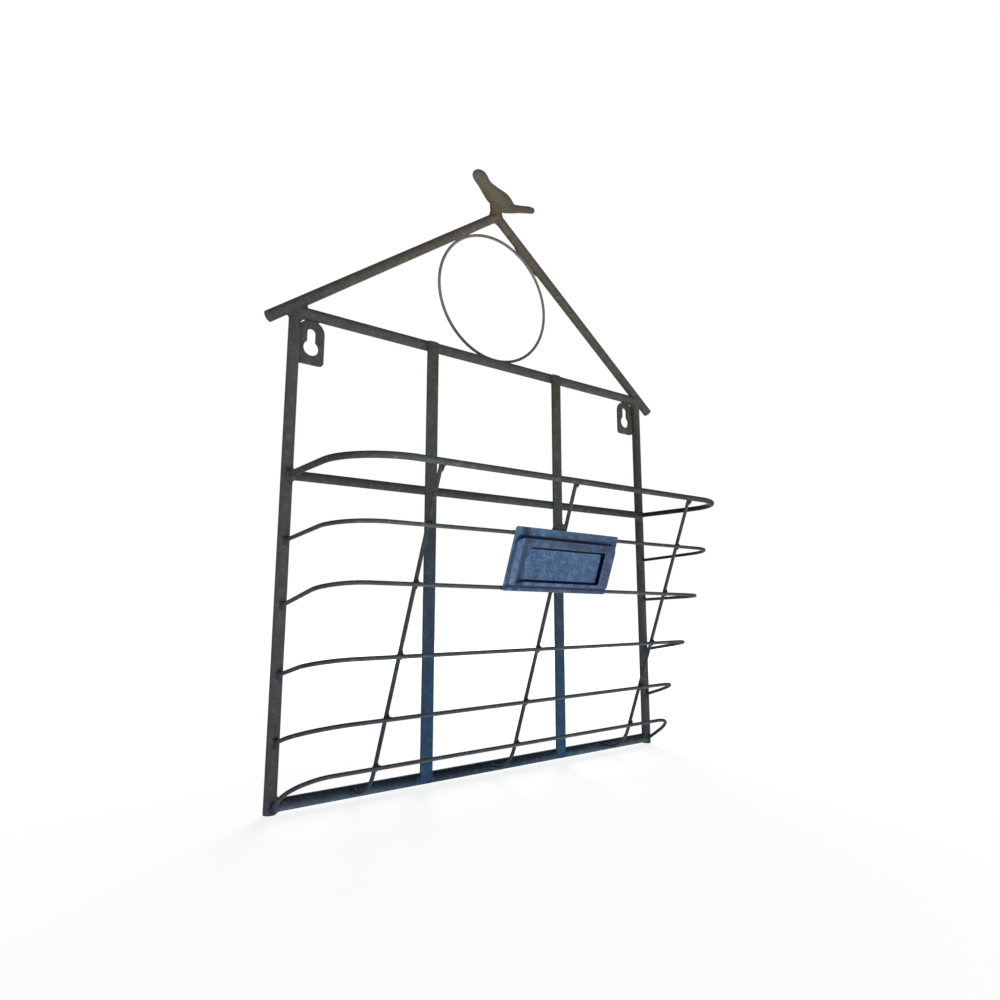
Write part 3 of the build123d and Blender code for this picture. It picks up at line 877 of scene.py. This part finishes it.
# Olive-brown, with painted shade right of its middle over the tail
olive = satin_paint(
    "olive_brown_satin_paint",
    [(0.96, "#5a5448"), (1.0, "#605a4d")], [(0.48, "#ffffff"), (0.55, "#d6d6d6")],
    fleck="#8d8778", fleck_share=0.15, cloud_mm=7.0, swing=0.14,
)


def through(values, count):
    """Rows of numbers carried smoothly through given rows: Catmull-Rom cubics, evenly spaced."""
    values = np.array(values, float)
    rows = np.concatenate([2 * values[:1] - values[1:2], values, 2 * values[-1:] - values[-2:-1]])
    run = np.linspace(0, len(values) - 1, count)
    k = np.minimum(run.astype(int), len(values) - 2)
    t = (run - k)[:, None]
    a, b, c, d = rows[k], rows[k + 1], rows[k + 2], rows[k + 3]
    square, cube = 2 * a - 5 * b + 4 * c - d, 3 * b - a - 3 * c + d
    return 0.5 * (2 * b + (c - a) * t + square * t**2 + cube * t**3)


def swept_ellipses(sections):
    """A body of ellipses across a path: each has its middle's x and height over the ridge, half its
    height, half its thickness and the slope of its plane. The back is cut flat just clear of the
    wall."""
    stations, columns, flat_back = 64, 40, 2.8
    x, rise, half_height, half_thickness, slope = through(sections, stations).T[:, :, None]
    turn = np.linspace(0, 2 * np.pi, columns, endpoint=False)[None, :]
    tall = half_height * np.cos(turn)
    deep = np.minimum(half_thickness * np.sin(turn), flat_back)
    tilt = np.radians(slope)
    points = [x - tall * np.sin(tilt), deep, ridge_height + rise + tall * np.cos(tilt)]
    return skin(np.stack(points, -1))


bird_body = [
    (14.6, 11.0, 1.2, 1.4, -20.0), (12.4, 11.4, 2.8, 2.8, -21.0), (8.6, 12.1, 4.7, 4.6, -22.0),
    (3.3, 12.9, 6.4, 5.8, -25.0), (-3.3, 14.9, 5.5, 5.8, -33.0), (-8.6, 18.3, 3.9, 4.8, -39.0),
    (-11.3, 21.6, 4.3, 4.3, -41.0), (-13.6, 23.7, 4.6, 4.0, -36.0), (-16.4, 24.5, 3.7, 3.0, -20.0),
    (-18.6, 24.3, 2.0, 1.6, -10.0),
]
bird_tail = [
    (32.3, 16.3, 0.8, 0.9, 10.0), (31.0, 16.2, 1.8, 2.1, 12.0), (27.3, 15.5, 2.2, 2.8, 14.0),
    (20.4, 13.3, 2.3, 2.9, 16.0), (14.0, 11.2, 2.8, 3.1, 16.0), (7.0, 9.5, 3.5, 3.8, 14.0),
    (0.0, 8.5, 3.4, 3.6, 10.0),
]
bird_foot = [
    (-0.2, 13.0, 4.2, 3.4, 90.0), (-0.6, 9.0, 4.5, 3.2, 90.0), (-0.6, 5.0, 4.3, 3.0, 90.0),
    (-0.4, 3.5, 4.4, 3.0, 90.0), (-0.3, 1.0, 5.2, 2.8, 90.0), (-0.3, -1.0, 5.8, 2.6, 90.0),
]
bird_parts = [swept_ellipses(sections) for sections in (bird_body, bird_tail, bird_foot)]
bird = make_piece("bird_casting", bird_parts, olive)
fuse = bird.modifiers.new("fuse", "REMESH")
fuse.mode, fuse.voxel_size, fuse.use_smooth_shade = "VOXEL", 0.0004, True
soften = bird.modifiers.new("soften", "SMOOTH")
soften.factor, soften.iterations = 0.5, 14
depsgraph = bpy.context.evaluated_depsgraph_get()
cast = bpy.data.meshes.new_from_object(bird.evaluated_get(depsgraph))
bird.modifiers.clear()
bird.data = cast
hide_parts("bird_finial")

# Staging: a pale floor that glows, most in front, and lights the rack from below as in the photograph,
# a room that is white to the eye but dim above, a weak lamp in front, a soft one behind for the back of
# the rack and its shadow, and the photograph's camera.

reach, floor_level = 12.0, solid_box[0][2] - 0.0003
corners = [(x * reach, y * reach, floor_level) for x, y in ((-1, -1), (1, -1), (1, 1), (-1, 1))]
floor_mesh = bpy.data.meshes.new("floor")
floor_mesh.from_pydata(corners, [], [(0, 1, 2, 3)])
floor = bpy.data.objects.new("floor", floor_mesh)
bpy.context.scene.collection.objects.link(floor)


def shown_to_the_eye(tree):
    """One where a ray comes from the camera, a reflection or a clear body, so that all of these see
    the same white surround."""
    ray = add(tree, "ShaderNodeLightPath").outputs
    seen = ray["Is Camera Ray"]
    for other in ("Is Glossy Ray", "Is Transmission Ray"):
        seen = add(tree, "ShaderNodeMath", {0: seen, 1: ray[other]}, operation="MAXIMUM").outputs[0]
    return seen


floor_paint = bpy.data.materials.new("glowing_white_floor")
floor_paint.use_nodes = True
tree = floor_paint.node_tree
shader = tree.nodes["Principled BSDF"]
shader.inputs["Base Color"].default_value = linear("#f4f4f2")
shader.inputs["Roughness"].default_value = 0.9
shader.inputs["Emission Color"].default_value = linear("#ffffff")
place = add(tree, "ShaderNodeTexCoord").outputs["Object"]
level = add(tree, "ShaderNodeVectorMath", {0: place}, in_1=(1, 1, 0), operation="MULTIPLY").outputs[0]
distance = add(tree, "ShaderNodeVectorMath", {0: level}, operation="LENGTH").outputs["Value"]
to_eye = add(
    tree, "ShaderNodeMapRange", {"Value": distance},
    From_Min=0.1, From_Max=0.8, To_Min=0.8, To_Max=0.96,
).outputs["Result"]
sides = add(tree, "ShaderNodeSeparateXYZ", {"Vector": place}).outputs
# The glow for all but the eye is painted light from below on the rack, strongest in front and to the
# right
ahead = add(
    tree, "ShaderNodeMapRange", {"Value": sides["Y"]},
    From_Min=0.03, From_Max=-0.08, To_Min=0.7, To_Max=1.65,
).outputs["Result"]
rightward = add(
    tree, "ShaderNodeMapRange", {"Value": sides["X"]},
    From_Min=-0.05, From_Max=0.2, To_Min=0.95, To_Max=1.3,
).outputs["Result"]
to_rack = add(tree, "ShaderNodeMath", {0: ahead, 1: rightward}, operation="MULTIPLY").outputs[0]
glow = add(tree, "ShaderNodeMix", {0: shown_to_the_eye(tree), 2: to_rack, 3: to_eye})
tree.links.new(glow.outputs[0], shader.inputs["Emission Strength"])
floor_mesh.materials.append(floor_paint)

world = bpy.data.worlds.new("white_surround")
bpy.context.scene.world = world
world.use_nodes = True
tree = world.node_tree
direction = add(tree, "ShaderNodeTexCoord").outputs["Generated"]
from_front = add(
    tree, "ShaderNodeVectorMath", {0: direction}, in_1=(-0.35, -0.9, -0.25), operation="DOT_PRODUCT"
).outputs["Value"]
share = add(
    tree, "ShaderNodeMapRange", {"Value": from_front}, From_Min=-1.0, From_Max=1.0
).outputs["Result"]
room = colour_stops(
    add(tree, "ShaderNodeValToRGB", {"Fac": share}),
    [
        (0.0, "#383838"), (0.35, "#1c1c1c"), (0.5, "#2c2c2c"),
        (0.7, "#4a4a4a"), (0.95, "#6c6c6c"), (1.0, "#707070"),
    ],
)
shown = add(tree, "ShaderNodeMix", {0: shown_to_the_eye(tree), 6: room}, data_type="RGBA")
shown.inputs[7].default_value = linear("#ffffff")
tree.links.new(shown.outputs[2], tree.nodes["Background"].inputs["Color"])


def soft_lamp(name, place, aim, size, power):
    """A square soft lamp at a place, facing a point."""
    light = bpy.data.lights.new(name, "AREA")
    light.size, light.energy = size, power
    lamp = bpy.data.objects.new(name, light)
    bpy.context.scene.collection.objects.link(lamp)
    lamp.location = place
    x, y, z = np.array(aim, float) - np.array(place, float)
    lamp.rotation_euler = (math.atan2(math.hypot(x, y), -z), 0, math.atan2(-x, y))


rack_middle = (0, 0, -0.06)
soft_lamp("front_lamp", (-0.4, -0.9, -0.07), rack_middle, size=0.28, power=0.8)
soft_lamp("back_lamp", (0.72, 0.96, 0.3), rack_middle, size=0.6, power=5.0)

lens = bpy.data.cameras.new("photo_camera")
lens.sensor_width, lens.lens = 36.0, 23.4
camera = bpy.data.objects.new("photo_camera", lens)
bpy.context.scene.collection.objects.link(camera)
camera.location = (-0.23483, -0.32253, -0.13218)
camera.rotation_euler = np.radians([98.8935, 0.0115, -36.6383])
bpy.context.scene.camera = camera

bpy.context.scene.view_settings.view_transform = "Standard"
